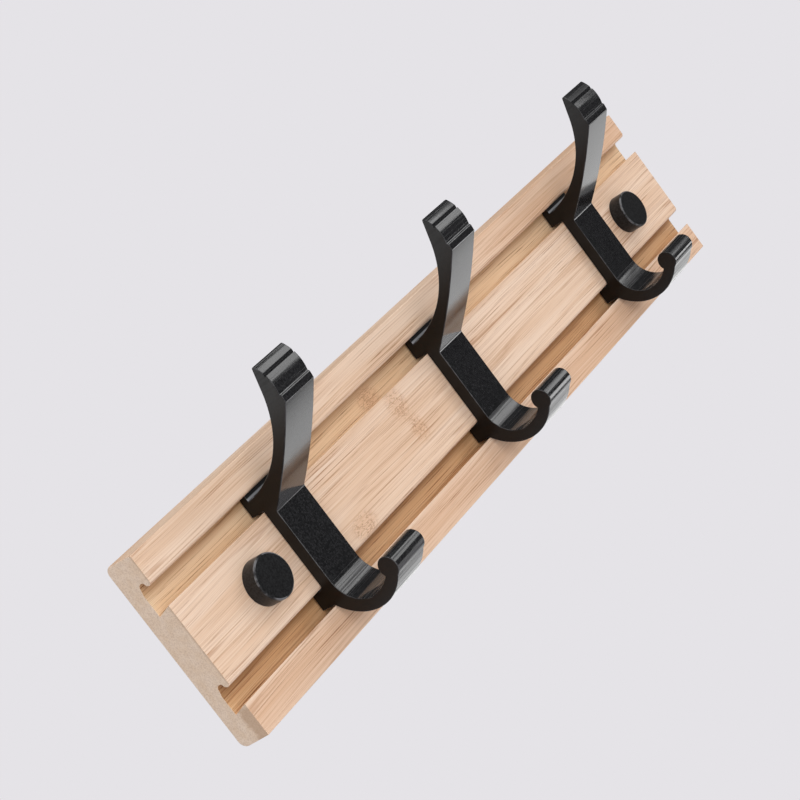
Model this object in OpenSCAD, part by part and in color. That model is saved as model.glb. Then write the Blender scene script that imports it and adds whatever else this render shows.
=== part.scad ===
// Wall coat rack: a grooved bamboo board, three hooks that slide along its grooves,
// and a wall screw under a push-on cap near each end. Sizes are in millimetres.
// X runs along the board, the front faces -Y, the wall is the plane y = 0 and Z
// points up. The origin is the middle of the board's back face.
// The board and the hooks are slices of one outline each. A point of an outline is
// the distance out from the wall, then the height above the board's lower edge.

/* [Board] */
// Length of the board
board_l = 314; // [260:1:600]
// Height of the board's front
board_h = 60; // [54:0.5:90]
// Thickness of the board
board_t = 11.5; // [10.5:0.1:16]
// How far each long edge stands out further at the back than at the front
board_draft = 0.5; // [0:0.1:1]
// Radius of the two long back edges
board_back_r = 2.4; // [0.5:0.1:3]

/* [Grooves] */
// From the board's top down to the nose over the upper groove
upper_lip_h = 9.5; // [7:0.1:12]
// Mouth of the upper groove, from its nose down to the land
upper_groove_h = 7; // [6:0.1:9]
// Mouth of the lower groove, from its nose down to the lower lip
lower_groove_h = 6.1; // [5.5:0.1:8]
// Height of the lip below the lower groove
lower_lip_h = 10.5; // [9:0.1:14]
// Wood left behind the grooves
groove_floor = 6.1; // [5:0.1:7]
// Radius of the rounded nose over each groove
nose_r = 1.3; // [1:0.1:1.5]
// Radius of the pocket that runs up behind each nose
pocket_r = 1.4; // [1.1:0.1:1.6]
// How much lower a groove is at its floor than at its mouth
groove_dip = 1.5; // [0:0.1:2]

/* [Hooks] */
// Width of each hook along the board
hook_w = 15.2; // [10:0.1:25]
// From the left screw to the middle of the left hook
hook_left_in = 24.1; // [22:0.1:40]
// From the board's middle to the middle of the middle hook
hook_middle_x = -2.6; // [-20:0.1:20]
// From the right screw to the middle of the right hook
hook_right_in = 26; // [22:0.1:40]
// Running gap between a hook and the board
hook_gap = 0.25; // [0.1:0.05:0.4]
// Gap between a hook's feet and the floors of the grooves
foot_gap = 0.6; // [0.2:0.1:1]
// Thickness of the bar between the two feet
bar_t = 4.3; // [3:0.1:6]

/* [Lower hook] */
// From the lower lip's top edge up to where the bar starts to curve
curl_start = 6.7; // [4:0.1:10]
// Inner radius of the curl next to the bar
curl_in_r = 9.2; // [7:0.1:12]
// Inner radius of the curl next to its end
curl_out_r = 13.2; // [12.5:0.1:16]
// Thickness of the curl
curl_t = 3.9; // [3:0.1:5]
// Radius of the round bead on the curl's end
bead_r = 3.4; // [2.5:0.1:4.5]
// Direction of the bead from the middle of the curl, in degrees below level
bead_angle = 34.9; // [25:0.5:42]

/* [Upper hook] */
// From the land's top edge down to the crease at the foot of the prong
crease_drop = 1.5; // [0.5:0.1:4]
// Radius of that crease
crease_r = 1.2; // [0.5:0.1:3]
// How far the prong reaches out from the front of the bar
prong_reach = 27.5; // [20:0.5:36]
// How far the prong rises from the crease to its sharp front corner
prong_rise = 24.2; // [20:0.2:28]
// Radius of the prong's bowed front
prong_bow_r = 200; // [120:5:400]
// Radius of the prong's hollow back
prong_back_r = 35.2; // [33:0.1:38]
// Room between the hollow and the nose over the upper groove
nose_room = 2.4; // [1:0.1:3]
// Height of the plain band below the head
band_h = 2.2; // [1:0.1:4]
// Ledge between that band and the head
ledge = 0.5; // [0.2:0.1:1]
// Radius of the head's rounded front
head_r = 11.2; // [10:0.1:13]
// Height of the head above the ledge
head_h = 10.1; // [8:0.1:11]
// Radius of the head's top edge
tip_r = 0.6; // [0.4:0.05:0.8]

/* [Caps and wall screws] */
// From each end of the board to the middle of its screw
screw_inset = 31.7; // [20:0.1:50]
// Radius of a wall screw's thread, which starts where the screw leaves the board
screw_r = 2; // [1.9:0.1:2.5]
// Radius of the plain shank between the thread and the head
shank_r = 1.6; // [1.2:0.05:1.7]
// Length of a wall screw with its head
screw_l = 32; // [28:1:34]
// Length of a wall screw's point
point_l = 4; // [2:0.5:6]
// Radius of a wall screw's head
head_disc_r = 3.9; // [3.4:0.1:4.2]
// Height of the screw head's cone, from the shank to the head's rim
head_cone_h = 2.3; // [1.8:0.1:2.6]
// Radial room for the screw in the board and in its seat
screw_fit = 0.2; // [0.1:0.05:0.4]
// Radius of the seat under the screw head
seat_r = 5.6; // [5.2:0.1:6]
// Height of that seat
seat_h = 3.8; // [3.4:0.1:4]
// Outer radius of a cap
cap_r = 7; // [6.8:0.1:9]
// Height of a cap
cap_h = 5.5; // [5:0.1:8]
// Thickness of a cap's top
cap_top_t = 1.2; // [0.8:0.1:1.4]
// Radial room between a cap and its seat
cap_fit = 0.1; // [0.05:0.01:0.2]
// Bevel round the front of a cap
cap_bevel = 0.3; // [0.1:0.05:0.6]

/* [Hidden] */
$fn = 64;
// Facets on large arcs
fine = 360;
// How far a cut runs past the face that it opens
cut = 1;
// Extra room round a nose, so that the foot's arc crosses the back of the bar
nose_relief = 0.05;
// How far a round form laps over the flat one that it runs into, or stops short of it
lap = 0.02;
// How far the pockets lie in front of the grooves' floors, and above the noses
pocket_out = 0.5;
pocket_up = 0.1;

// Places of the screws and of the outer hooks, to each side of the board's middle
screw_x = board_l / 2 - screw_inset;
hook_left_x = hook_left_in - screw_x;
hook_right_x = screw_x - hook_right_in;

// Heights of the grooves and of the land between them, above the board's lower edge
upper_nose_z = board_h - upper_lip_h;
land_top_z = upper_nose_z - upper_groove_h;
lower_nose_z = lower_lip_h + lower_groove_h;

// The hook's outline
bar_back = board_t + hook_gap;
bar_front = bar_back + bar_t;
curl_z = lower_lip_h + curl_start;
curl_mid = [bar_front + curl_in_r, curl_z + curl_out_r - curl_in_r];
bead_mid = curl_mid + (curl_out_r + 0.25 * curl_t) * [cos(bead_angle), -sin(bead_angle)];
crease = [bar_front, land_top_z - crease_drop];
corner = crease + [prong_reach, prong_rise];
// The head's front swells this far past the corner, this far above the band
head_swell = 0.4;
swell_up = 3.9;
head_mid = corner + [head_swell - head_r, band_h + swell_up];
band_lean = 0.3;
band_top = corner + [band_lean, band_h];
ledge_top = band_top + [-ledge, ledge];
// The middle of the arc through the crease and the corner
chord = norm(corner - crease);
rise_angle = atan2(prong_rise, prong_reach);
bow_angle = asin(chord / 2 / prong_bow_r);
bow_mid = (crease + corner) / 2
    + prong_bow_r * cos(bow_angle) * [-sin(rise_angle), cos(rise_angle)];
// The tip runs into the head's rounded front
tip_up = ledge_top[1] + head_h - tip_r - head_mid[1];
tip_side = head_r - tip_r + lap;
tip_mid = head_mid + [sqrt(tip_side * tip_side - tip_up * tip_up), tip_up];
// The prong's back leaves its hollow at this lean and runs straight up to the tip
back_lean = 18.5;
back_out = [cos(back_lean), -sin(back_lean)];
back_z = upper_nose_z - nose_room + prong_back_r;
back_thick = prong_back_r + tip_r - 2 * lap;
back_mid = [
    tip_mid[0] - (back_thick + (back_z - tip_mid[1]) * back_out[1]) / back_out[0],
    back_z,
];
back_start = back_mid + (prong_back_r - lap) * back_out;
// The prong's hollow starts this far in front of the back of the upper nose
tongue_step = 0.5;
tongue_front = board_t - 2 * nose_r + tongue_step;

// A slice of the given width round the place mid_x. Its forms are all this wide.
module slice(mid_x, width) {
    $wide = width;
    translate([mid_x + width / 2, 0, -board_h / 2]) rotate([90, 0, -90]) children();
}

// The forms of a slice: a round one, one with corners, and an upright rectangle
module disc(mid, r, facets = $fn) {
    translate(mid) cylinder(h = $wide, r = r, $fn = facets);
}

module plate(points) {
    linear_extrude(height = $wide) polygon(points);
}

module block(low, size) {
    translate(low) cube([size[0], size[1], $wide]);
}

// Rounds the hollow corner at p between the directions low and high, in degrees.
// It ends in a lip as thick as the lap, not in a knife edge.
module fill_corner(p, low, high, r) {
    half = (high - low) / 2;
    reach = r / tan(half);
    mid = p + r / sin(half) * [cos(low + half), sin(low + half)];
    difference() {
        plate([p, p + reach * [cos(low), sin(low)], mid, p + reach * [cos(high), sin(high)]]);
        disc(mid, r - lap);
    }
}

// The space below a nose, out to the distance mouth, with the pocket behind the nose.
// The low corner lies dip below the edge. A foot is the same form with gaps left round it.
module groove_form(nose_z, edge_z, mouth, dip, gap = 0, floor_gap = 0, relief = 0) {
    nose = [board_t - nose_r, nose_z + nose_r];
    pocket = [groove_floor + pocket_r + pocket_out, nose_z + pocket_up];
    inner = groove_floor + floor_gap;
    shoulder = pocket + 0.97 * (pocket_r - gap) * [cos(150), sin(150)];
    difference() {
        union() {
            plate([
                [mouth, edge_z + gap], [board_t, edge_z + gap], [inner, edge_z + gap - dip],
                [inner, pocket[1] - 1.2 * pocket_r], shoulder, pocket, nose, [mouth, nose[1]],
            ]);
            disc(pocket, pocket_r - gap);
        }
        disc(nose, nose_r + gap + relief);
    }
}

// The foot of a hook in one of the grooves
module foot(nose_z, edge_z) {
    groove_form(nose_z, edge_z, bar_back + cut, 0, hook_gap, foot_gap, nose_relief);
}

// Height of the slanted top or bottom of the board past its front edge, at a distance out
function draft_at(out) = board_draft * (board_t - out) / board_t;

// One rounded back edge of the board, as the middle of its arc
function back_edge(side) =
    let (lean = atan(board_draft / board_t))
    [board_back_r, side * (draft_at(board_back_r) - board_back_r / cos(lean))];

// Where a back edge's arc meets the slanted side
function back_join(side) =
    let (lean = atan(board_draft / board_t))
    back_edge(side) + board_back_r * [sin(lean), side * cos(lean)];

module board_form() {
    top = [0, board_h];
    difference() {
        union() {
            plate([
                [board_t, 0], [board_t, board_h],
                top + back_join(1), top + back_edge(1) - [board_back_r, 0],
                back_edge(-1) - [board_back_r, 0], back_join(-1),
            ]);
            disc(top + back_edge(1), board_back_r - lap);
            disc(back_edge(-1), board_back_r - lap);
        }
        groove_form(upper_nose_z, land_top_z, board_t + cut, groove_dip);
        groove_form(lower_nose_z, lower_lip_h, board_t + cut, groove_dip);
    }
}

// The curl below the bar, its bead, and the foot in the lower groove
module lower_hook() {
    big = 2 * curl_mid[0];
    difference() {
        intersection() {
            disc(curl_mid, curl_out_r + curl_t, fine);
            block([bar_back, 0], [big, curl_z + cut]);
        }
        intersection() {
            disc([curl_mid[0], curl_z], curl_in_r, fine);
            block([0, 0], [curl_mid[0], curl_z]);
        }
        intersection() {
            disc(curl_mid, curl_out_r, fine);
            block([curl_mid[0], 0], [big, big]);
        }
        block([bar_front, curl_z], [big, big]);
        block([curl_mid[0], bead_mid[1] - 0.3 * bead_r], [big, big]);
    }
    disc(bead_mid, bead_r);
    foot(lower_nose_z, lower_lip_h);
}

// The head above its ledge: a rounded front and a small round tip
module head() {
    front = tip_mid + 2 * tip_r * (tip_mid - head_mid) / tip_side;
    back = tip_mid - 2 * tip_r * back_out;
    past = head_mid[0] + head_r + cut;
    intersection() {
        disc(head_mid, head_r, fine);
        plate([
            [head_mid[0], band_top[1]], [past, band_top[1]], [past, front[1]],
            front, tip_mid, back, [head_mid[0], back[1]],
        ]);
    }
    disc(tip_mid, tip_r);
}

// The prong above the bar, its head, and the foot in the upper groove
module upper_hook() {
    low = crease[1] - cut;
    low_front = corner - (corner[1] - low) / band_h * (band_top - corner);
    difference() {
        union() {
            intersection() {
                disc(bow_mid, prong_bow_r, fine);
                plate([
                    [bar_back, low], low_front, band_top, ledge_top, [bar_back, ledge_top[1]],
                ]);
            }
            fill_corner(crease, -90, rise_angle, crease_r);
            head();
            foot(upper_nose_z, land_top_z);
        }
        // The hollow back, which also clears the nose over the groove
        intersection() {
            disc(back_mid, prong_back_r, fine);
            block([tongue_front, 0], 4 * prong_back_r * [1, 1]);
        }
        // The straight stretch from the hollow to the tip
        plate([
            back_start, back_start + 2 * head_h * [tan(back_lean), 1],
            [bar_back - cut, back_start[1] + 2 * head_h], [bar_back - cut, back_start[1]],
        ]);
    }
}

module hook_form() {
    lower_hook();
    block([bar_back, curl_z], [bar_t, crease[1] - curl_z]);
    upper_hook();
}

// Turns a piece that is made along +Z so that it points out of the wall at a screw
module at_screw(side, out) {
    translate([side * screw_x, -out, 0]) rotate([90, 0, 0]) children();
}

module board() {
    color("burlywood") difference() {
        slice(0, board_l) board_form();
        for (side = [-1, 1])
            at_screw(side, -cut) cylinder(h = board_t + 2 * cut, r = screw_r + screw_fit);
    }
}

module hook(mid_x) {
    color("#1c1c1e") slice(mid_x, hook_w) hook_form();
}

module hook_left() {
    hook(hook_left_x);
}

module hook_middle() {
    hook(hook_middle_x);
}

module hook_right() {
    hook(hook_right_x);
}

// The cone of a screw head, below its level top
module head_cone() {
    translate([0, 0, -head_cone_h]) cylinder(h = head_cone_h, r1 = shank_r, r2 = head_disc_r);
}

// A countersunk screw whose head is level with the top of its seat
module screw(side) {
    recess_l = 1.1 * head_disc_r;
    recess_w = 0.25 * head_disc_r;
    plain_l = board_t + seat_h;
    point_z = point_l - screw_l;
    color("silver") at_screw(side, board_t + seat_h) difference() {
        union() {
            head_cone();
            translate([0, 0, -plain_l]) cylinder(h = plain_l - head_cone_h, r = shank_r);
            translate([0, 0, point_z]) cylinder(h = -plain_l - point_z, r = screw_r);
            translate([0, 0, -screw_l]) cylinder(h = point_l, r1 = screw_r / 10, r2 = screw_r);
        }
        for (turn = [0, 90])
            rotate(turn) translate([-recess_l / 2, -recess_w / 2, -0.6 * head_cone_h])
                cube([recess_l, recess_w, head_cone_h]);
    }
}

module screw_left() {
    screw(-1);
}

module screw_right() {
    screw(1);
}

// The seat that the screw clamps to the board and that a cap pushes over
module cap_seat(side) {
    color("#242424") at_screw(side, board_t) difference() {
        cylinder(h = seat_h, r = seat_r);
        translate([0, 0, -cut]) cylinder(h = seat_h + 2 * cut, r = screw_r + screw_fit);
        translate([0, 0, seat_h]) head_cone();
        translate([0, 0, seat_h]) cylinder(h = cut, r = head_disc_r);
    }
}

module cap_seat_left() {
    cap_seat(-1);
}

module cap_seat_right() {
    cap_seat(1);
}

// A cap, whose rim rests on the board round its seat
module cap(side) {
    color("#242424") at_screw(side, board_t) difference() {
        union() {
            cylinder(h = cap_h - cap_bevel, r = cap_r);
            translate([0, 0, cap_h - cap_bevel])
                cylinder(h = cap_bevel, r1 = cap_r, r2 = cap_r - cap_bevel);
        }
        translate([0, 0, -cut]) cylinder(h = cap_h - cap_top_t + cut, r = seat_r + cap_fit);
    }
}

module cap_left() {
    cap(-1);
}

module cap_right() {
    cap(1);
}

board();
hook_left();
hook_middle();
hook_right();
screw_left();
screw_right();
cap_seat_left();
cap_seat_right();
cap_left();
cap_right();
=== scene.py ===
# %% [markdown]
# # A wall coat rack with three sliding hooks
# The rack is one grooved bamboo board, three black hooks that slide along its
# grooves, and two wall screws that hide under round caps. Its measured solids come
# first, as a fixed frame. Everything that follows dresses them: each solid gets a
# finer copy with eased edges, and each copy gets a material built from nodes.

# %% Load the solids
import math

import bmesh
import bpy
from mathutils import Matrix, Vector
from mathutils.bvhtree import BVHTree


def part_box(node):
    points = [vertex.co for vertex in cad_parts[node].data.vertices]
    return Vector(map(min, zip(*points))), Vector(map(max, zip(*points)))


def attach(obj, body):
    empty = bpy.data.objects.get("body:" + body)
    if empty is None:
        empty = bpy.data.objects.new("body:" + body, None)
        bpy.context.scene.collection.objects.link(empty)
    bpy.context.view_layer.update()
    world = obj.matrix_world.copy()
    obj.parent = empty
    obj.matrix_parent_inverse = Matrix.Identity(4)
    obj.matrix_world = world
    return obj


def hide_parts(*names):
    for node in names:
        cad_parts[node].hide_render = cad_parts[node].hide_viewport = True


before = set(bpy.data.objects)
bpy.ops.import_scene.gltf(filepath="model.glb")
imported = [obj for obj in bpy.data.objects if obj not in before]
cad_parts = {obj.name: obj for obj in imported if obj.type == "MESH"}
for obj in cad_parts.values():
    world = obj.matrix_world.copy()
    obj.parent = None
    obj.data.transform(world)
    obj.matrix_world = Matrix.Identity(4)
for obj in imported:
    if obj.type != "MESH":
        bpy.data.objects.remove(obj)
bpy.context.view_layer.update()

MM = 0.001
print("solids:", ", ".join(sorted(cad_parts)))

# %% [markdown]
# ## Where the camera stands
# The photograph looks at the rack from the front left, a little above it, with the
# camera rolled so that the board climbs across the picture. A camera can be placed
# by rotation angles, but three directions are easier to read: where its right, its
# down and its forward point in the room. A long lens keeps the board's edges nearly
# parallel, as they are in the picture.

# %% Camera
right = Vector((0.46865011, -0.65267092, -0.59530475))
down = Vector((-0.46302219, 0.39241786, -0.79474441))
ahead = Vector((0.75231478, 0.64809636, -0.11829444))
stand = Vector((-0.535911, -0.444298, 0.088112))
camera = bpy.data.objects.new("camera", bpy.data.cameras.new("camera"))
facing = Matrix((right, -down, -ahead)).transposed().to_4x4()
camera.matrix_world = Matrix.Translation(stand) @ facing
camera.data.sensor_width = 36
camera.data.lens = 98.996
camera.data.clip_start = 0.01
bpy.context.scene.collection.objects.link(camera)
bpy.context.scene.camera = camera
bpy.context.scene.view_settings.view_transform = "Standard"
print("lens", round(camera.data.lens, 1), "mm, seen from", round(stand.length, 2), "m away")

# %% [markdown]
# ## Small tools for nodes
# A material is a graph of nodes. Writing it by hand takes three lines for each node,
# so one helper makes a node, sets its fields and plugs its inputs: a socket is
# linked and anything else is a value. A second helper turns the colours of a screen,
# from 0 to 255, into the linear values that light is reckoned in.

# %% A node and a colour
def plug(tree, node, inputs):
    """Sets inputs by name or place: a socket is linked, anything else is a value."""
    for name, value in inputs.items():
        if isinstance(value, bpy.types.NodeSocket):
            tree.links.new(value, node.inputs[name])
        else:
            node.inputs[name].default_value = value


def add(tree, kind, inputs=None, **fields):
    """A new node in tree, with its fields set and its inputs plugged."""
    node = tree.nodes.new("ShaderNode" + kind)
    for name, value in fields.items():
        setattr(node, name, value)
    plug(tree, node, inputs or {})
    return node


def colour(red, green, blue):
    """A screen colour from 0 to 255, as linear light."""
    def line(value):
        value /= 255
        return value / 12.92 if value <= 0.04045 else ((value + 0.055) / 1.055) ** 2.4
    return (line(red), line(green), line(blue), 1)


print("a screen's middle grey is", round(colour(128, 128, 128)[0], 3), "of full light")

# %% [markdown]
# Masks are numbers from 0 to 1 that change over a surface, and they come from a few
# steps: scale the place, take a noise there, stretch a part of its range, multiply.
# Each step could be a node made in place, but as a short function it can be read.

# %% Masks from numbers
def sums(tree, kind, a, b):
    """The result of one arithmetic node on a and b."""
    return add(tree, "Math", {0: a, 1: b}, operation=kind).outputs[0]


def times(tree, first, *others):
    """The product of masks and numbers."""
    for other in others:
        first = sums(tree, "MULTIPLY", first, other)
    return first


def spread(tree, value, low, high, to_low=0.0, to_high=1.0):
    """Stretches value from low..high to a new range, with soft ends, and clamps it."""
    node = add(tree, "MapRange", {
        "Value": value, "From Min": low, "From Max": high,
        "To Min": to_low, "To Max": to_high,
    }, interpolation_type="SMOOTHSTEP")
    return node.outputs["Result"]


def between(tree, value, start, full, last, end):
    """One from full to last, fading to nothing at start and at end."""
    return times(tree, spread(tree, value, start, full), spread(tree, value, end, last))


def size_of(tree, value):
    """A value without its sign."""
    return add(tree, "Math", {0: value}, operation="ABSOLUTE").outputs[0]


def thin_lines(tree, value, middle, reach):
    """Thin lines where a value crosses its middle."""
    return spread(tree, size_of(tree, sums(tree, "SUBTRACT", value, middle)), reach, 0.0)


# %% Places, noise and mixed colours
def stretched(tree, place, x, y, z):
    """The place, scaled differently along each axis."""
    return add(tree, "VectorMath", {0: place, 1: (x, y, z)}, operation="MULTIPLY").outputs[0]


def noise(tree, place, scale=1.0, detail=2.0, rough=0.5):
    """Smooth random values from 0 to 1."""
    node = add(tree, "TexNoise", {
        "Vector": place, "Scale": scale, "Detail": detail, "Roughness": rough,
    })
    return node.outputs["Fac"]


def axes_of(tree, vector):
    """The X, Y and Z of a vector, each on its own."""
    return add(tree, "SeparateXYZ", {0: vector}).outputs


def mixed(tree, factor, a, b, kind="MIX"):
    """One colour laid over another by a mask."""
    node = add(tree, "Mix", {0: factor, 6: a, 7: b}, data_type="RGBA", blend_type=kind)
    return node.outputs[2]


# %% [markdown]
# ## Effects shared by several materials
# Wood grain, the fine tooth of a coating and rubbed edges each appear in more than
# one material. A node group keeps such an effect in one place, with named sockets
# for what differs. A group gives out masks only, and each material decides what the
# masks do to its colour, its gloss and its height.

# %% A new node group
def node_group(name, inputs, outputs):
    """An empty group with named sockets, and its input and output nodes."""
    tree = bpy.data.node_groups.new(name, "ShaderNodeTree")
    for label, kind, value in inputs:
        socket = tree.interface.new_socket(
            label, in_out="INPUT", socket_type="NodeSocket" + kind)
        if value is not None:
            socket.default_value = value
    for label in outputs:
        tree.interface.new_socket(label, in_out="OUTPUT", socket_type="NodeSocketFloat")
    given = tree.nodes.new("NodeGroupInput").outputs
    made = tree.nodes.new("NodeGroupOutput").inputs
    print("group:", name, "gives", ", ".join(outputs))
    return tree, given, made


def use(tree, group, inputs):
    """Places a group in a material and gives back its outputs."""
    node = tree.nodes.new("ShaderNodeGroup")
    node.node_tree = group
    plug(tree, node, inputs)
    return node.outputs


# %% [markdown]
# ### The grain of bamboo
# Bamboo is a bundle of straight hard fibres in softer pith. Sawn along its length it
# shows long fine lines, some dark and some pale, which waver a little. Painted one
# by one they would look drawn, so they come from noise that is stretched more than a
# hundred times along the board. Its two tails are the dark and the pale lines, and
# where a smoother noise crosses its middle there is a thin thread. The same group,
# used again with wider lines, looks less regular than one alone.

# %% Group: bamboo grain
grain_group, given, made = node_group("Bamboo grain", [
    ("Place", "Vector", None), ("Line Width", "Float", 0.6), ("Line Length", "Float", 30.0),
], ["Dark Lines", "Pale Lines", "Threads", "Bands"])
tree = grain_group
part = axes_of(tree, given["Place"])
waver = times(tree, noise(tree, stretched(tree, given["Place"], 0.012, 0.05, 0.05), 1.0, 1.0), 3.0)
across = add(tree, "CombineXYZ", {
    0: sums(tree, "DIVIDE", part["X"], given["Line Length"]),
    1: sums(tree, "DIVIDE", part["Y"], given["Line Width"]),
    2: sums(tree, "DIVIDE", sums(tree, "ADD", part["Z"], waver), given["Line Width"]),
}).outputs[0]
fine = noise(tree, across, 1.0, 2.0, 0.6)
smooth = noise(tree, across, 0.8, 0.0)
wide = noise(tree, stretched(tree, given["Place"], 0.007, 0.16, 0.16), 1.0, 2.0, 0.55)
tree.links.new(spread(tree, fine, 0.54, 0.68), made["Dark Lines"])
tree.links.new(spread(tree, fine, 0.47, 0.35), made["Pale Lines"])
tree.links.new(thin_lines(tree, smooth, 0.5, 0.035), made["Threads"])
tree.links.new(spread(tree, wide, 0.36, 0.64), made["Bands"])

# %% [markdown]
# ### The joints of the cane
# A bamboo cane is closed by a joint every hand or two. Where a strip crosses one,
# the fibres swirl and the surface shows a small mottled patch. A patch is a soft
# oval mask times a wavy noise, so one group can be placed wherever a joint lies.

# %% Group: cane joint
joint_group, given, made = node_group("Cane joint", [
    ("Place", "Vector", None), ("Middle", "Vector", (0.0, 0.0, 0.0)),
    ("Reach", "Vector", (7.0, 30.0, 7.0)),
], ["Patch", "Specks"])
tree = joint_group
moved = add(tree, "VectorMath", {0: given["Place"], 1: given["Middle"]}, operation="SUBTRACT")
shrunk = add(tree, "VectorMath", {0: moved.outputs[0], 1: given["Reach"]}, operation="DIVIDE")
away = add(tree, "VectorMath", {0: shrunk.outputs[0]}, operation="LENGTH").outputs["Value"]
patch = spread(tree, away, 1.0, 0.35)
swirl = noise(tree, stretched(tree, given["Place"], 0.4, 1.1, 1.1), 1.0, 3.0, 0.65)
tree.links.new(patch, made["Patch"])
tree.links.new(times(tree, patch, thin_lines(tree, swirl, 0.52, 0.05)), made["Specks"])

# %% [markdown]
# ### The tooth of a coating
# A sprayed coating isn't mirror smooth: fine grains sit in it, and its gloss is a
# little uneven. Two noises give the grain and the unevenness.

# %% Group: coating tooth
tooth_group, given, made = node_group("Coating tooth", [
    ("Place", "Vector", None), ("Grains per mm", "Float", 4.0),
], ["Grain", "Cloud"])
tree = tooth_group
grain = noise(tree, given["Place"], given["Grains per mm"], 2.0, 0.6)
cloud = noise(tree, given["Place"], 0.18, 3.0, 0.55)
tree.links.new(spread(tree, grain, 0.3, 0.7), made["Grain"])
tree.links.new(spread(tree, cloud, 0.3, 0.7), made["Cloud"])

# %% [markdown]
# ### Rubbed edges and dust
# Hands and coats polish the edges of a thing first. The copies below store where
# their eased edges are in a mesh attribute, and this group breaks that mask up so
# that the rubbing comes and goes. On the black coatings its lighter edges are partly
# wear and partly a painted highlight. Dust settles on what faces up, in faint clouds.

# %% Groups: rubbed edges and dust
rub_group, given, made = node_group("Rubbed edges", [
    ("Place", "Vector", None), ("Edge", "Float", 0.0), ("Patch Size", "Float", 6.0),
], ["Rubbed"])
tree = rub_group
broken = noise(tree, given["Place"], sums(tree, "DIVIDE", 1.0, given["Patch Size"]), 3.0, 0.6)
rubbing = times(tree, given["Edge"], spread(tree, broken, 0.42, 0.62))
tree.links.new(rubbing, made["Rubbed"])

dust_group, given, made = node_group("Dust", [
    ("Place", "Vector", None), ("Normal", "Vector", None),
], ["Dust"])
tree = dust_group
faces_up = spread(tree, axes_of(tree, given["Normal"])["Z"], 0.35, 1.0)
cloud = noise(tree, given["Place"], 0.25, 4.0, 0.6)
tree.links.new(times(tree, faces_up, spread(tree, cloud, 0.35, 0.75)), made["Dust"])

# %% [markdown]
# ## A material to start from
# Every material begins alike: the place of a point in millimetres, measured on the
# piece itself so that the pattern travels with a sliding hook, and one shader whose
# plain numbers are set on its own sockets.

# %% New material
def material(name, **numbers):
    """A material with one shader, and the place of a point in millimetres."""
    made = bpy.data.materials.new(name)
    made.use_nodes = True
    tree = made.node_tree
    shader = tree.nodes["Principled BSDF"]
    for label, value in numbers.items():
        shader.inputs[label.replace("_", " ")].default_value = value
    point = add(tree, "TexCoord").outputs["Object"]
    place = add(tree, "VectorMath", {0: point, "Scale": 1 / MM}, operation="SCALE").outputs[0]
    print("material:", name)
    return made, tree, shader, place


def relief(tree, height, depth, over=None):
    """The normals of a height from 0 to 1 that is depth metres deep, over other relief."""
    inputs = {"Height": height, "Distance": depth}
    if over is not None:
        inputs["Normal"] = over
    return add(tree, "Bump", inputs).outputs["Normal"]


# %% [markdown]
# ## Bamboo along the grain
# The board is pressed from thin strips of bamboo, sanded and left nearly raw. Its
# colour is a pale peach with fine brown lines, and most of them are dashes, stronger
# in some places than in others. One noise would repeat its own rhythm, so two sizes
# of grain lie over each other, and two slower noises decide where the lines are
# strong and where they break off.

# %% Material: bamboo
bamboo, tree, shader, place = material("bamboo", Specular_IOR_Level=0.3)
fine = use(tree, grain_group, {"Place": place, "Line Width": 0.34, "Line Length": 45.0})
middling = use(tree, grain_group, {"Place": place, "Line Width": 0.7, "Line Length": 110.0})
slow = noise(tree, stretched(tree, place, 0.02, 0.09, 0.09), 1.0, 2.0)
strong = spread(tree, slow, 0.4, 0.62, 0.35, 0.75)
breaks = noise(tree, stretched(tree, place, 0.08, 0.7, 0.7), 1.0, 2.0)
dashes = times(tree, fine["Dark Lines"], spread(tree, breaks, 0.42, 0.56, 0.5, 1.2))
tone = mixed(tree, fine["Bands"], colour(231, 195, 164), colour(240, 210, 184))
for mask, strength, paint in (
    (middling["Pale Lines"], 0.2, colour(248, 225, 204)),
    (middling["Dark Lines"], 0.18, colour(212, 168, 130)),
    (fine["Pale Lines"], 0.35, colour(249, 226, 206)),
    (dashes, strong, colour(172, 120, 84)),
    (middling["Threads"], strong, colour(186, 138, 102)),
):
    tone = mixed(tree, times(tree, mask, strength), tone, paint)
gloss = spread(tree, fine["Dark Lines"], 0.0, 1.0, 0.5, 0.64)
tree.links.new(gloss, shader.inputs["Roughness"])
sunk = relief(tree, sums(tree, "SUBTRACT", 1.0, fine["Dark Lines"]), 0.03 * MM)
tree.links.new(sunk, shader.inputs["Normal"])

# %% [markdown]
# ### Grooves and lips
# The grooves are cut below the sanded face, so they show their lines more. The
# upper groove is painted lighter and yellower, as painted light that reaches into
# it, and the lower one is darker and yellower. Under each nose the wood is painted
# browner, as painted shade below the nose. The lips are other strips of cane: the
# lower one and the right end of the upper one are warmer. Separate materials would
# leave hard borders, so soft masks made from the place do it within one.

# %% Bamboo: grooves and lips
part = axes_of(tree, place)
below_face = between(tree, part["Y"], -10.6, -8.4, -4.0, -3.0)
inside = times(tree, below_face, spread(tree, size_of(tree, part["Z"]), 26.0, 25.0))
upper = times(tree, inside, spread(tree, part["Z"], -4.0, 4.0))
lower = times(tree, inside, spread(tree, part["Z"], 4.0, -4.0))
# Painted shade: the wood just under each nose is darkened and browned, as if shaded by the nose.
painted_nose_shade = sums(
    tree, "MAXIMUM", times(tree, upper, spread(tree, part["Z"], 16.2, 20.0)),
    times(tree, lower, spread(tree, part["Z"], -17.0, -14.8)))
right_of_upper_lip = times(
    tree, spread(tree, part["Z"], 20.0, 21.0), spread(tree, part["X"], -20.0, 110.0))
warmer = sums(tree, "MAXIMUM", spread(tree, part["Z"], -20.0, -21.0), right_of_upper_lip)
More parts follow.
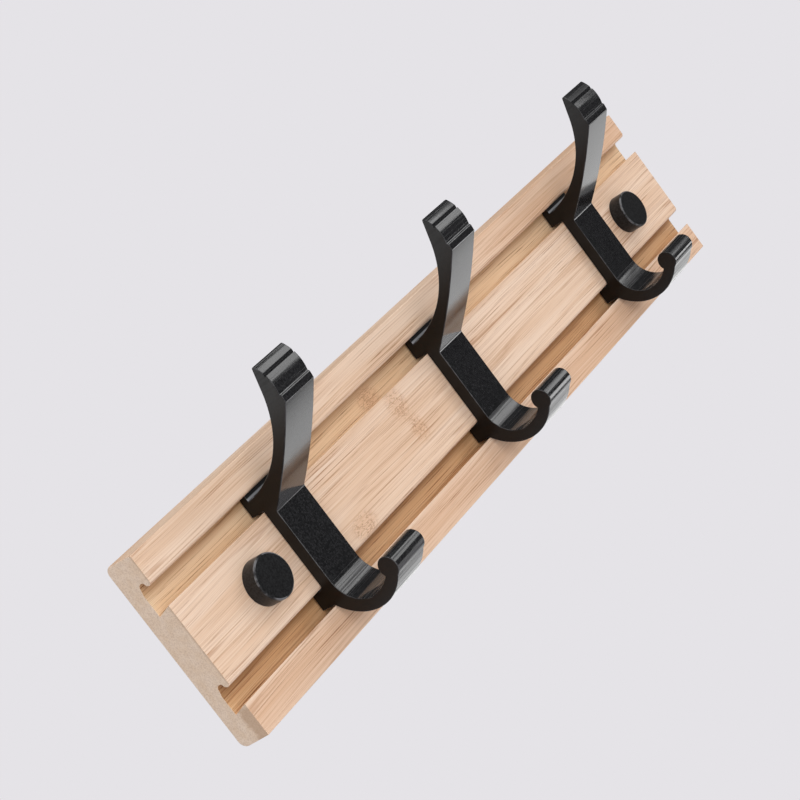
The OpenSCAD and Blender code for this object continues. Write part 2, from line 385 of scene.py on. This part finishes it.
# Painted light: the upper groove is lightened, as if more light reached into it.
tone = mixed(tree, times(tree, upper, 0.35), tone, colour(252, 220, 164))
tone = mixed(tree, lower, tone, colour(236, 220, 190), "MULTIPLY")
tone = mixed(tree, times(tree, inside, dashes, 0.6), tone, colour(150, 98, 60))
tone = mixed(tree, painted_nose_shade, tone, colour(212, 198, 182), "MULTIPLY")
tone = mixed(tree, warmer, tone, colour(246, 237, 229), "MULTIPLY")
print("masks on", bamboo.name + ": grooves, browned wood, warmer lips")

# %% [markdown]
# ### Where the joints lie
# Four cane joints show. Three lie in one row, across the land and in the upper
# groove, because they cross strips that were pressed side by side. Each is given by
# its middle and its reach in millimetres.

# %% Bamboo: cane joints
FACE_Y, GROOVE_Y = -11.5, -6.1
joints = (
    ((-36, FACE_Y, 9), (6, 4, 7)), ((-34, FACE_Y, -1), (5, 4, 6)),
    ((-39, GROOVE_Y, 15.5), (7, 4, 5)), ((-79, FACE_Y, -10), (8, 4, 5)),
)
for middle, reach in joints:
    joint = use(tree, joint_group, {"Place": place, "Middle": middle, "Reach": reach})
    tone = mixed(tree, times(tree, joint["Patch"], 0.4), tone, colour(222, 178, 140))
    tone = mixed(tree, times(tree, joint["Specks"], 0.65), tone, colour(160, 108, 72))
tree.links.new(tone, shader.inputs["Base Color"])
print(len(joints), "cane joints on", bamboo.name)

# %% [markdown]
# ## Bamboo across the grain
# On a sawn end the same fibres are seen end on, as fine dots in a pinkish tan ground.
# Near the front, where the cane's hard skin lay, they are closer and darker, most of
# all in the lower lip. The dots could be a fine noise, but a texture of scattered
# cells keeps them apart, as the fibres are.

# %% Material: bamboo end
bamboo_end, tree, shader, place = material(
    "bamboo end", Roughness=0.7, Specular_IOR_Level=0.2)
part = axes_of(tree, place)
cells = add(tree, "TexVoronoi", {"Vector": stretched(tree, place, 0.2, 1.9, 1.6), "Scale": 1.0})
dots = spread(tree, cells.outputs["Distance"], 0.55, 0.15)
cloud = noise(tree, stretched(tree, place, 0.1, 0.45, 0.3), 1.0, 3.0)
fleck = spread(tree, noise(tree, place, 2.2, 2.0, 0.6), 0.42, 0.66)
ragged = noise(tree, stretched(tree, place, 0.1, 0.5, 0.5), 1.0, 3.0)
ragged = spread(tree, ragged, 0.3, 0.7, -0.7, 0.7)
front = spread(tree, sums(tree, "ADD", part["Y"], ragged), -6.6, -8.2)
lower_lip = times(tree, front, spread(tree, part["Z"], -19.0, -21.5))
skin = spread(tree, part["Y"], -10.6, -11.3)
hard = sums(tree, "MAXIMUM", lower_lip, times(tree, skin, 0.8))
tone = mixed(tree, spread(tree, cloud, 0.3, 0.7), colour(224, 199, 174), colour(229, 207, 186))
for mask, strength, paint in (
    (fleck, 0.3, colour(186, 156, 134)), (hard, 0.62, colour(176, 142, 112)),
    (dots, 0.28, colour(176, 146, 122)),
):
    tone = mixed(tree, times(tree, mask, strength), tone, paint)
tree.links.new(tone, shader.inputs["Base Color"])
tree.links.new(relief(tree, dots, -0.03 * MM), shader.inputs["Normal"])

# %% [markdown]
# ## Black coating
# Each hook is a slice of one long drawn bar. Its drawn faces are glossy and show
# faint lines along the bar. Its two sawn faces are duller under the same coating,
# and its feet are dulled by sliding in the grooves. On black, nearly all that the
# eye sees is reflection, so the colour is kept very dark and the roughness does the
# work. One function makes all the black finishes, because they differ in numbers
# only. Two details are asked for by name: dull lines where the bar bends, in its
# head and its curl, and a painted highlight, a thin bright line along the upper foot.

# %% A black finish
ALONG_BAR, ALONG_SAW = (0.015, 2.0, 2.0), (1.5, 0.1, 1.5)
HEAD_FROM_Z, CURL_FROM_Z = (36.0, 38.0), (-12.0, -14.0)
FOOT_HIGHLIGHT_Z = (18.3, 18.7, 19.0, 19.4)


def black_coat(name, gloss, specular, dark, light, tooth, streaks=0.0, along=ALONG_BAR,
               dull_lines=0.0, rubbed_and_highlight=80, painted_foot_highlight=0.0):
    """A black coating. Gloss is its roughness, tooth and streaks are depths in metres."""
    made, tree, shader, place = material(name, Specular_IOR_Level=specular)
    height = axes_of(tree, place)["Z"]
    coat = use(tree, tooth_group, {"Place": place, "Grains per mm": 1.6})
    edge = add(tree, "Attribute", attribute_name="edge").outputs["Fac"]
    rub = use(tree, rub_group, {"Place": place, "Edge": edge, "Patch Size": 5.0})
    normal = add(tree, "NewGeometry").outputs["True Normal"]
    dust = use(tree, dust_group, {"Place": place, "Normal": normal})
    lines = noise(tree, stretched(tree, place, *along), 1.0, 3.0, 0.7)
    tone = mixed(tree, coat["Grain"], colour(dark, dark, dark + 1), colour(light, light, light + 1))
    # The eased edges are painted lighter: partly wear, partly a painted highlight.
    worn_and_highlight_tone = colour(rubbed_and_highlight, rubbed_and_highlight, rubbed_and_highlight + 2)
    tone = mixed(tree, times(tree, rub["Rubbed"], 0.5), tone, worn_and_highlight_tone)
    tone = mixed(tree, times(tree, dust["Dust"], 0.03), tone, colour(120, 118, 116))
    # Painted highlight: a thin light grey line along the upper foot, where light would glint.
    if painted_foot_highlight:
        line = times(tree, between(tree, height, *FOOT_HIGHLIGHT_Z), painted_foot_highlight)
        tone = mixed(tree, line, tone, colour(170, 172, 176))
    rough = spread(tree, coat["Cloud"], 0.0, 1.0, gloss - 0.01, gloss + 0.02)
    if dull_lines:
        bends = sums(tree, "ADD", spread(tree, height, *HEAD_FROM_Z),
                     spread(tree, height, *CURL_FROM_Z, 0.0, 1.7))
        dull = times(tree, bends, spread(tree, lines, 0.48, 0.66), dull_lines)
        rough = sums(tree, "ADD", rough, dull)
    drawn = relief(tree, lines, streaks) if streaks else None
    tree.links.new(tone, shader.inputs["Base Color"])
    tree.links.new(rough, shader.inputs["Roughness"])
    tree.links.new(relief(tree, coat["Grain"], tooth, drawn), shader.inputs["Normal"])
    return made


# %% Materials: drawn, sawn and worn faces
drawn_black = black_coat("black drawn face", gloss=0.09, specular=0.7, dark=27, light=47,
                         tooth=0.0008 * MM, streaks=0.01 * MM, dull_lines=0.24)
sawn_black = black_coat("black sawn face", gloss=0.34, specular=0.3, dark=0, light=5,
                        tooth=0.008 * MM, streaks=0.01 * MM, along=ALONG_SAW, dull_lines=0.1)
worn_black = black_coat("black worn foot", gloss=0.5, specular=0.15, dark=4, light=14,
                        tooth=0.004 * MM, streaks=0.01 * MM, painted_foot_highlight=0.8)

# %% [markdown]
# ## Caps, seats and screws
# The caps and the seats under them are moulded in black plastic with a duller skin
# and no drawn lines. The screws are zinc plated steel, whose gloss changes from spot
# to spot as the crystals of the plating do.

# %% Materials: plastic and zinc
moulded_black = black_coat("black moulded skin", gloss=0.34, specular=0.2, dark=16, light=38,
                           tooth=0.008 * MM, rubbed_and_highlight=150)

zinc, tree, shader, place = material("zinc plating", Metallic=1.0)
coat = use(tree, tooth_group, {"Place": place, "Grains per mm": 2.5})
edge = add(tree, "Attribute", attribute_name="edge").outputs["Fac"]
rub = use(tree, rub_group, {"Place": place, "Edge": edge, "Patch Size": 2.0})
tone = mixed(tree, coat["Grain"], colour(176, 174, 166), colour(206, 204, 196))
tone = mixed(tree, rub["Rubbed"], tone, colour(226, 225, 220))
gloss = spread(tree, coat["Grain"], 0.0, 1.0, 0.26, 0.42)
tree.links.new(tone, shader.inputs["Base Color"])
tree.links.new(gloss, shader.inputs["Roughness"])
tree.links.new(relief(tree, coat["Grain"], 0.005 * MM), shader.inputs["Normal"])

# %% [markdown]
# ## Copies with eased edges
# A solid straight from a drawing has knife edges, and real things never do. Each
# solid is copied, its seams are welded, its flat faces are joined, and every sharp
# edge gets a narrow round. A narrow round matters more than its size suggests,
# because it catches a thin line of light. A bevel modifier could do it, but bmesh
# lets the script choose the edges and mark the rounds in an attribute, which the
# rubbed edges are made from.

# %% Welded copies and eased edges
def welded(node, weld=0.06 * MM):
    """A copy of a solid's mesh, with seams welded and flat faces joined."""
    shape = bmesh.new()
    shape.from_mesh(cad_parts[node].data)
    bmesh.ops.remove_doubles(shape, verts=shape.verts, dist=weld)
    bmesh.ops.dissolve_limit(
        shape, angle_limit=math.radians(0.4), verts=shape.verts, edges=shape.edges)
    return shape


def ease(shape, width, sharper_than=28, segments=2, keep=()):
    """Rounds the sharp edges, but for those to keep, and marks the new faces."""
    layer = shape.loops.layers.float.get("edge") or shape.loops.layers.float.new("edge")
    limit = math.radians(sharper_than)
    sharp = [edge for edge in shape.edges
             if edge.is_manifold and edge.calc_face_angle(0) > limit and edge not in keep]
    new = bmesh.ops.bevel(
        shape, geom=sharp, offset=width, segments=segments, profile=0.5,
        affect="EDGES", clamp_overlap=False, loop_slide=True,
    )
    for face in new["faces"]:
        for loop in face.loops:
            loop[layer] = 1.0


# %% [markdown]
# A shape becomes an object, and the object takes the place of its solid. Smooth
# shading alone would bend the light on flat faces too, so the normals are weighted
# by area, which keeps the broad faces flat. The modifier's result is kept as a plain
# mesh. Slivers that are too short to see are taken out first.

# %% Finished pieces
SLIVER = 0.002 * MM
BROAD_FACES = 80


def to_object(shape, name):
    """Turns a shape into an object of the scene."""
    mesh = bpy.data.meshes.new(name)
    shape.to_mesh(mesh)
    shape.free()
    made = bpy.data.objects.new(name, mesh)
    bpy.context.scene.collection.objects.link(made)
    return made


def finished(shape, name, node, body, materials):
    """Makes the piece, smooths it, and lets it stand for its solid."""
    bmesh.ops.dissolve_degenerate(shape, dist=SLIVER, edges=shape.edges)
    shape.normal_update()
    piece = to_object(shape, name)
    for finish in materials:
        piece.data.materials.append(finish)
    piece.data.shade_smooth()
    weigh = piece.modifiers.new("broad faces stay flat", "WEIGHTED_NORMAL")
    weigh.weight, weigh.keep_sharp = BROAD_FACES, True
    graph = bpy.context.evaluated_depsgraph_get()
    smoothed = bpy.data.meshes.new_from_object(
        piece.evaluated_get(graph), preserve_all_data_layers=True, depsgraph=graph)
    piece.modifiers.clear()
    piece.data = smoothed
    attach(piece, body)
    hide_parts(node)
    print(name, len(smoothed.polygons), "faces")


# %% [markdown]
# ## The board
# The board's grooves run from end to end, so its long faces show the grain and only
# the two sawn ends show it end on. Which material a face takes follows from the way
# it faces. The edges are eased by a quarter of a millimetre, as after sanding.

# %% Board
LONG_FACE, SAWN_END = 0, 1
shape = welded("board")
ease(shape, 0.25 * MM)
for face in shape.faces:
    face.material_index = SAWN_END if abs(face.normal.x) > 0.8 else LONG_FACE
finished(shape, "grooved_board", "board", "board", [bamboo, bamboo_end])

# %% [markdown]
# ## A line across each head
# A thin dark line runs across the front of each head, between two bands of light. It
# could be a dark stripe in the coating, but a stripe looks the same from everywhere,
# while a line in glossy metal changes with what it mirrors. So a prism with three
# sides is cut out of the head by a boolean. It leaves a shallow facet that tilts
# upwards and mirrors another part of the room.

# %% Cutting one shape from another
def cut_away(shape, cutter):
    """Takes one closed shape from another by a boolean, and gives back the rest."""
    body, tool = to_object(shape, "body"), to_object(cutter, "tool")
    cut = body.modifiers.new("cut", "BOOLEAN")
    cut.operation, cut.solver, cut.object, cut.use_self = "DIFFERENCE", "EXACT", tool, True
    graph = bpy.context.evaluated_depsgraph_get()
    rest = bmesh.new()
    rest.from_mesh(bpy.data.meshes.new_from_object(body.evaluated_get(graph), depsgraph=graph))
    for spare in (body, tool):
        bpy.data.objects.remove(spare)
    return rest


# %% The facet on a head
FACET_TOP, FACET_WIDTH, FACET_DEPTH = 46.2 * MM, 1.15 * MM, 0.6 * MM
HEAD_FRONT_Y = -40 * MM


def facet_prism(shape, middle):
    """The wedge to cut from a head: its edges on the head's front, its root within."""
    tree = BVHTree.FromBMesh(shape)
    high, low = (
        Vector(tree.ray_cast((middle, -0.1, z), (0, 1, 0))[0].yz)
        for z in (FACET_TOP, FACET_TOP - FACET_WIDTH)
    )
    along = (low - high).normalized()
    inward = Vector((-along.y, along.x))
    root = low + inward * math.copysign(FACET_DEPTH, inward.x)
    outline = [root, root + (high - root) * 1.4, root + (low - root) * 2.4]
    prism = bmesh.new()
    near, far = (
        [prism.verts.new((middle + x, y, z)) for y, z in outline] for x in (-10 * MM, 10 * MM)
    )
    prism.faces.new(near)
    prism.faces.new(far[::-1])
    for i in range(3):
        j = (i + 1) % 3
        prism.faces.new((near[i], far[i], far[j], near[j]))
    bmesh.ops.recalc_face_normals(prism, faces=prism.faces)
    return prism


def head_line(shape, middle):
    """Cuts the facet across the front of a head and keeps its edges crisp."""
    rest = cut_away(shape, facet_prism(shape, middle))
    lowest, highest = FACET_TOP - 1.5 * FACET_WIDTH, FACET_TOP + FACET_WIDTH / 2
    for edge in rest.edges:
        near_it = all(v.co.y < HEAD_FRONT_Y and lowest < v.co.z < highest for v in edge.verts)
        if near_it and edge.is_manifold and edge.calc_face_angle(0) > math.radians(8):
            edge.smooth = False
    return rest


# %% [markdown]
# ## The hooks
# The three hooks are the same slice in three places, so one loop dresses all. The
# sawn faces are those that face along the board, and the feet are what lies deeper
# than the bar. At the hidden tips of the feet some facets are narrower than the
# round would be. A round there would fold over itself, so those edges stay sharp.

# %% Hooks
EASED = 0.24 * MM
FOOT_FROM_Y = -12 * MM
DRAWN, SAWN, FOOT = 0, 1, 2


def too_narrow(shape):
    """Long edges along the slice with a facet beside them narrower than the round."""
    found = set()
    for edge in shape.edges:
        if abs(edge.verts[0].co.x - edge.verts[1].co.x) > 10 * MM:
            beside = (e.calc_length() for v in edge.verts for e in v.link_edges if e is not edge)
            if min(beside) < EASED:
                found.add(edge)
    return found


for side in ("left", "middle", "right"):
    hook = "hook_" + side
    low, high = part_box(hook)
    shape = welded(hook)
    ease(shape, EASED, keep=too_narrow(shape))
    shape = head_line(shape, (low.x + high.x) / 2)
    for face in shape.faces:
        is_foot = face.calc_center_median().y > FOOT_FROM_Y
        face.material_index = SAWN if abs(face.normal.x) > 0.9 else FOOT if is_foot else DRAWN
    finished(shape, "slice_" + hook, hook, hook,
             [drawn_black, sawn_black, worn_black])

# %% [markdown]
# ## Caps and seats
# Each cap is a thin cup that pushes over a small round seat. Both are turned shapes,
# whose many side facets are smoothed by their normals.

# %% Caps and seats
for side in ("left", "right"):
    shape = welded("cap_" + side, 0.02 * MM)
    ease(shape, 0.2 * MM, sharper_than=40)
    finished(shape, "round_cap_" + side, "cap_" + side, "cap_" + side,
             [moulded_black])
    shape = welded("cap_seat_" + side, 0.02 * MM)
    ease(shape, 0.15 * MM, sharper_than=50)
    finished(shape, "screw_seat_" + side, "cap_seat_" + side, "board",
             [moulded_black])

# %% [markdown]
# ## The wall screws
# A screw is a turned body, a thread and a cross cut in its head. The solid has only
# the plain body, because a thread in it would cost many faces. Here the body is a
# profile turned round its axis. The thread is a small triangle swept along a helix:
# its root sinks into the core and its crest is as wide as the solid's.

# %% Turned shapes
TURN = 48


def turned(profile):
    """A closed shape turned from (radius, height) points round the Z axis."""
    shape = bmesh.new()
    rings = []
    for radius, height in profile:
        if radius < 1e-9:
            rings.append([shape.verts.new((0, 0, height))])
        else:
            rings.append([
                shape.verts.new((
                    radius * math.cos(math.tau * i / TURN),
                    radius * math.sin(math.tau * i / TURN), height,
                )) for i in range(TURN)
            ])
    for low, high in zip(rings, rings[1:]):
        for i in range(TURN):
            j = (i + 1) % TURN
            corners = [low[i % len(low)], low[j % len(low)],
                       high[j % len(high)], high[i % len(high)]]
            corners = list(dict.fromkeys(corners))
            if len(corners) > 2:
                shape.faces.new(corners)
    bmesh.ops.recalc_face_normals(shape, faces=shape.faces)
    return shape


# %% Threads
THREAD_TURN, THREAD_TAPER = 36, 30
ROOT_SUNK, ROOT_HALF = 0.2 * MM, 0.32


def thread(start, end, core, crest, pitch):
    """A triangle swept along a helix from start to end, tapering at both ends."""
    shape = bmesh.new()
    steps = int((end - start) / pitch * THREAD_TURN)
    last = None
    for i in range(steps + 1):
        angle = math.tau * i / THREAD_TURN
        height = start + (end - start) * i / steps
        tip = core + (crest - core) * min(1, i / THREAD_TAPER, (steps - i) / THREAD_TAPER)
        root = core - ROOT_SUNK
        ring = [
            shape.verts.new((r * math.cos(angle), r * math.sin(angle), height + h))
            for r, h in ((root, -ROOT_HALF * pitch), (tip, 0), (root, ROOT_HALF * pitch))
        ]
        if last:
            for k in range(3):
                n = (k + 1) % 3
                shape.faces.new((last[k], last[n], ring[n], ring[k]))
        else:
            shape.faces.new(ring)
        last = ring
    shape.faces.new(last[::-1])
    bmesh.ops.recalc_face_normals(shape, faces=shape.faces)
    return shape


# %% [markdown]
# The cross is cut from the head with two tapered arms. The screw's own axis is drawn
# along Z with the head's top at zero, then turned so that it points into the wall.
# Its place and its length come from the box of its solid.

# %% A cross for the head
def cross_arms():
    """Two tapered arms, one across the other, to cut from a screw's head."""
    cross = bmesh.new()
    for turn in (0, 90):
        arm = bmesh.ops.create_cone(
            cross, segments=4, radius1=0.5 * MM, radius2=1.0 * MM, depth=1.6 * MM,
            cap_ends=True)["verts"]
        for vert in arm:
            vert.co = Matrix.Rotation(math.radians(45), 3, "Z") @ vert.co
            vert.co = Vector((vert.co.x * 3.1, vert.co.y * 0.72, vert.co.z - 0.55 * MM))
            vert.co = Matrix.Rotation(math.radians(turn), 3, "Z") @ vert.co
    return cross


# %% Screws
HEAD_R, SHANK_R, CREST_R, CORE_R = 3.9 * MM, 1.6 * MM, 2.0 * MM, 1.35 * MM
PLAIN, PITCH = 15.3 * MM, 1.7 * MM
into_wall = Matrix.Rotation(math.radians(90), 4, "X")
for side in ("left", "right"):
    low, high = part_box("screw_" + side)
    length = high.y - low.y
    body = turned([
        (0, 0), (HEAD_R - 0.15 * MM, 0), (HEAD_R, -0.12 * MM), (HEAD_R, -0.3 * MM),
        (SHANK_R, -2.5 * MM), (SHANK_R, -PLAIN + 0.6 * MM), (CORE_R, -PLAIN),
        (CORE_R, -length + 4 * MM), (0.12 * MM, -length + 0.2 * MM), (0, -length),
    ])
    shape = cut_away(body, cross_arms())
    helix = thread(-length + 1.2 * MM, -PLAIN + 0.6 * MM, CORE_R, CREST_R, PITCH)
    loose = bpy.data.meshes.new("helix")
    helix.to_mesh(loose)
    helix.free()
    shape.from_mesh(loose)
    ease(shape, 0.06 * MM, sharper_than=60, segments=1)
    top = Vector(((low.x + high.x) / 2, low.y, (low.z + high.z) / 2))
    shape.transform(Matrix.Translation(top) @ into_wall)
    finished(shape, "wall_screw_" + side, "screw_" + side, "board", [zinc])

# %% [markdown]
# ## A pale studio
# The picture has a plain pale ground. The world lights the rack with a soft even
# light, and shows the ground's own colour to the camera and to anything glossy. A
# brighter lamp on a white sheet could do the same, but it would also wash out the
# wood.

# %% World
GROUND = colour(229, 227, 231)


def seen_directly(tree):
    """One where light reaches the eye from here directly, by a mirror or through glass."""
    path = add(tree, "LightPath").outputs
    seen = sums(tree, "MAXIMUM", path["Is Camera Ray"], path["Is Glossy Ray"])
    return sums(tree, "MAXIMUM", seen, path["Is Transmission Ray"])


world = bpy.data.worlds.new("pale studio")
bpy.context.scene.world = world
world.use_nodes = True
tree = world.node_tree
soft = tree.nodes["Background"]
soft.inputs["Color"].default_value = (0.97, 0.98, 1.0, 1)
soft.inputs["Strength"].default_value = 0.62
ground = add(tree, "Background", {"Color": GROUND, "Strength": 1.0})
both = add(tree, "MixShader", {
    0: seen_directly(tree), 1: soft.outputs[0], 2: ground.outputs[0],
})
tree.links.new(both.outputs[0], tree.nodes["World Output"].inputs["Surface"])
print("world:", world.name)

# %% [markdown]
# The floor lies well below the rack, so that its shadow stays on it but out of the
# picture. Far from the rack the floor takes the ground's colour too, so no horizon
# shows.

# %% Floor
FLOOR_Z, FLOOR_R = -0.9, 12
shape = bmesh.new()
bmesh.ops.create_circle(shape, cap_ends=True, segments=96, radius=FLOOR_R)
shape.transform(Matrix.Translation((0, 0, FLOOR_Z)))
floor = to_object(shape, "floor")
pale_floor, tree, shader, place = material("pale floor", Roughness=0.9, Specular_IOR_Level=0.1)
in_metres = stretched(tree, place, MM, MM, 0.0)
away = add(tree, "VectorMath", {0: in_metres}, operation="LENGTH").outputs["Value"]
speck = noise(tree, place, 0.05, 3.0)
tone = mixed(tree, speck, colour(226, 224, 228), colour(229, 227, 231))
tree.links.new(tone, shader.inputs["Base Color"])
glow = add(tree, "Emission", {"Color": GROUND, "Strength": 1.0})
far = times(tree, spread(tree, away, 0.35, 0.8), seen_directly(tree))
both = add(tree, "MixShader", {0: far, 1: shader.outputs[0], 2: glow.outputs[0]})
tree.links.new(both.outputs[0], tree.nodes["Material Output"].inputs["Surface"])
floor.data.materials.append(pale_floor)
print("floor at", FLOOR_Z, "m")

# %% [markdown]
# ## Lamps
# Three soft boxes stand round the rack, and the world's own light is strong beside
# them, because the picture's light is very soft. The tall box at the front right
# draws the light bands on the heads and in the curls. The wide fill box at the front
# left opens the shadows, and the top box lights what faces up. Small lamps or a sun
# would draw hard shadows, and the picture has none.

# %% Soft boxes
def towards(azimuth, elevation):
    """A direction out from the rack. Azimuth 0 is straight in front, 90 to the right."""
    a, e = math.radians(azimuth), math.radians(elevation)
    return Vector((math.sin(a) * math.cos(e), -math.cos(a) * math.cos(e), math.sin(e)))


def soft_box(name, azimuth, elevation, far, size, watts):
    """A rectangular lamp that looks at the rack."""
    out = towards(azimuth, elevation)
    lamp = bpy.data.objects.new(name, bpy.data.lights.new(name, "AREA"))
    lamp.data.shape = "RECTANGLE"
    lamp.data.size, lamp.data.size_y = size
    lamp.data.energy = watts
    lamp.location = out * far
    lamp.rotation_euler = (-out).to_track_quat("-Z", "Y").to_euler()
    bpy.context.scene.collection.objects.link(lamp)
    print(name, watts, "W")


soft_box("tall box", 46, 20.5, 1.2, (0.52, 0.76), 3.3)
soft_box("fill box", -40, 10, 1.5, (1.2, 1.2), 8.5)
soft_box("top box", -20, 78, 1.5, (1.0, 1.0), 5.0)

# %% [markdown]
# ## Screens for the reflections
# Black metal is drawn by what it mirrors. In the picture the bars and the caps stay
# black, because they mirror the dark room, and the prongs turn grey, because they
# mirror the bright table beside the board. Photographers set up such fields with a
# black flag and white cards. Here they are pieces of a large ball round the rack,
# which only reflections can see, so they light and shade nothing. The bars and the
# caps mirror the black flag, and the prongs mirror the white card, which is the
# table. The grey card fades out beside the tall box, the low card draws the line in
# each crease, and the back card is what the sawn faces mirror.

# %% One screen
CELLS = 24


def screen(name, azimuths, elevations, far, glow):
    """A piece of a ball round the rack. Its glow is worked out at each of its points."""
    shape = bmesh.new()
    layer = shape.verts.layers.float.new("glow")
    rows = []
    for j in range(CELLS + 1):
        elevation = elevations[0] + (elevations[1] - elevations[0]) * j / CELLS
        row = []
        for i in range(CELLS + 1):
            azimuth = azimuths[0] + (azimuths[1] - azimuths[0]) * i / CELLS
            row.append(shape.verts.new(towards(azimuth, elevation) * far))
            row[-1][layer] = glow(azimuth, elevation)
        rows.append(row)
    for low, high in zip(rows, rows[1:]):
        for i in range(CELLS):
            shape.faces.new((low[i], low[i + 1], high[i + 1], high[i]))
    made = to_object(shape, name)
    paint = bpy.data.materials.new(name)
    paint.use_nodes = True
    tree = paint.node_tree
    stored = add(tree, "Attribute", attribute_name="glow").outputs["Color"]
    light = add(tree, "Emission", {"Color": stored})
    tree.links.new(light.outputs[0], tree.nodes["Material Output"].inputs["Surface"])
    made.data.materials.append(paint)
    made.visible_camera = made.visible_diffuse = made.visible_shadow = False
    made.visible_transmission = made.visible_volume_scatter = False
    print("screen:", name)


# %% Flag and cards
def even(level):
    """The same glow all over a screen."""
    return lambda azimuth, elevation: level


def grey_fade(azimuth, elevation):
    """A light field that is gone at its right border."""
    return 0.9 * (70 - azimuth) / 10


def table_glow(azimuth, elevation):
    """The bright table fades to the left, the sooner the lower one looks."""
    return 1.45 * min(1, max(0, (azimuth + 0.35 * (elevation + 27) - 77) / 12))


screen("black flag", (10, 175), (-30, 80), 1.6, even(0.01))
screen("grey card", (60, 70), (-2, 30), 1.5, grey_fade)
screen("white card", (72, 140), (-60, -14), 0.8, table_glow)
screen("low card", (54, 72), (-39, -20), 1.5, even(4.0))
screen("back card", (-155, -115), (-12, 20), 1.5, even(2.0))
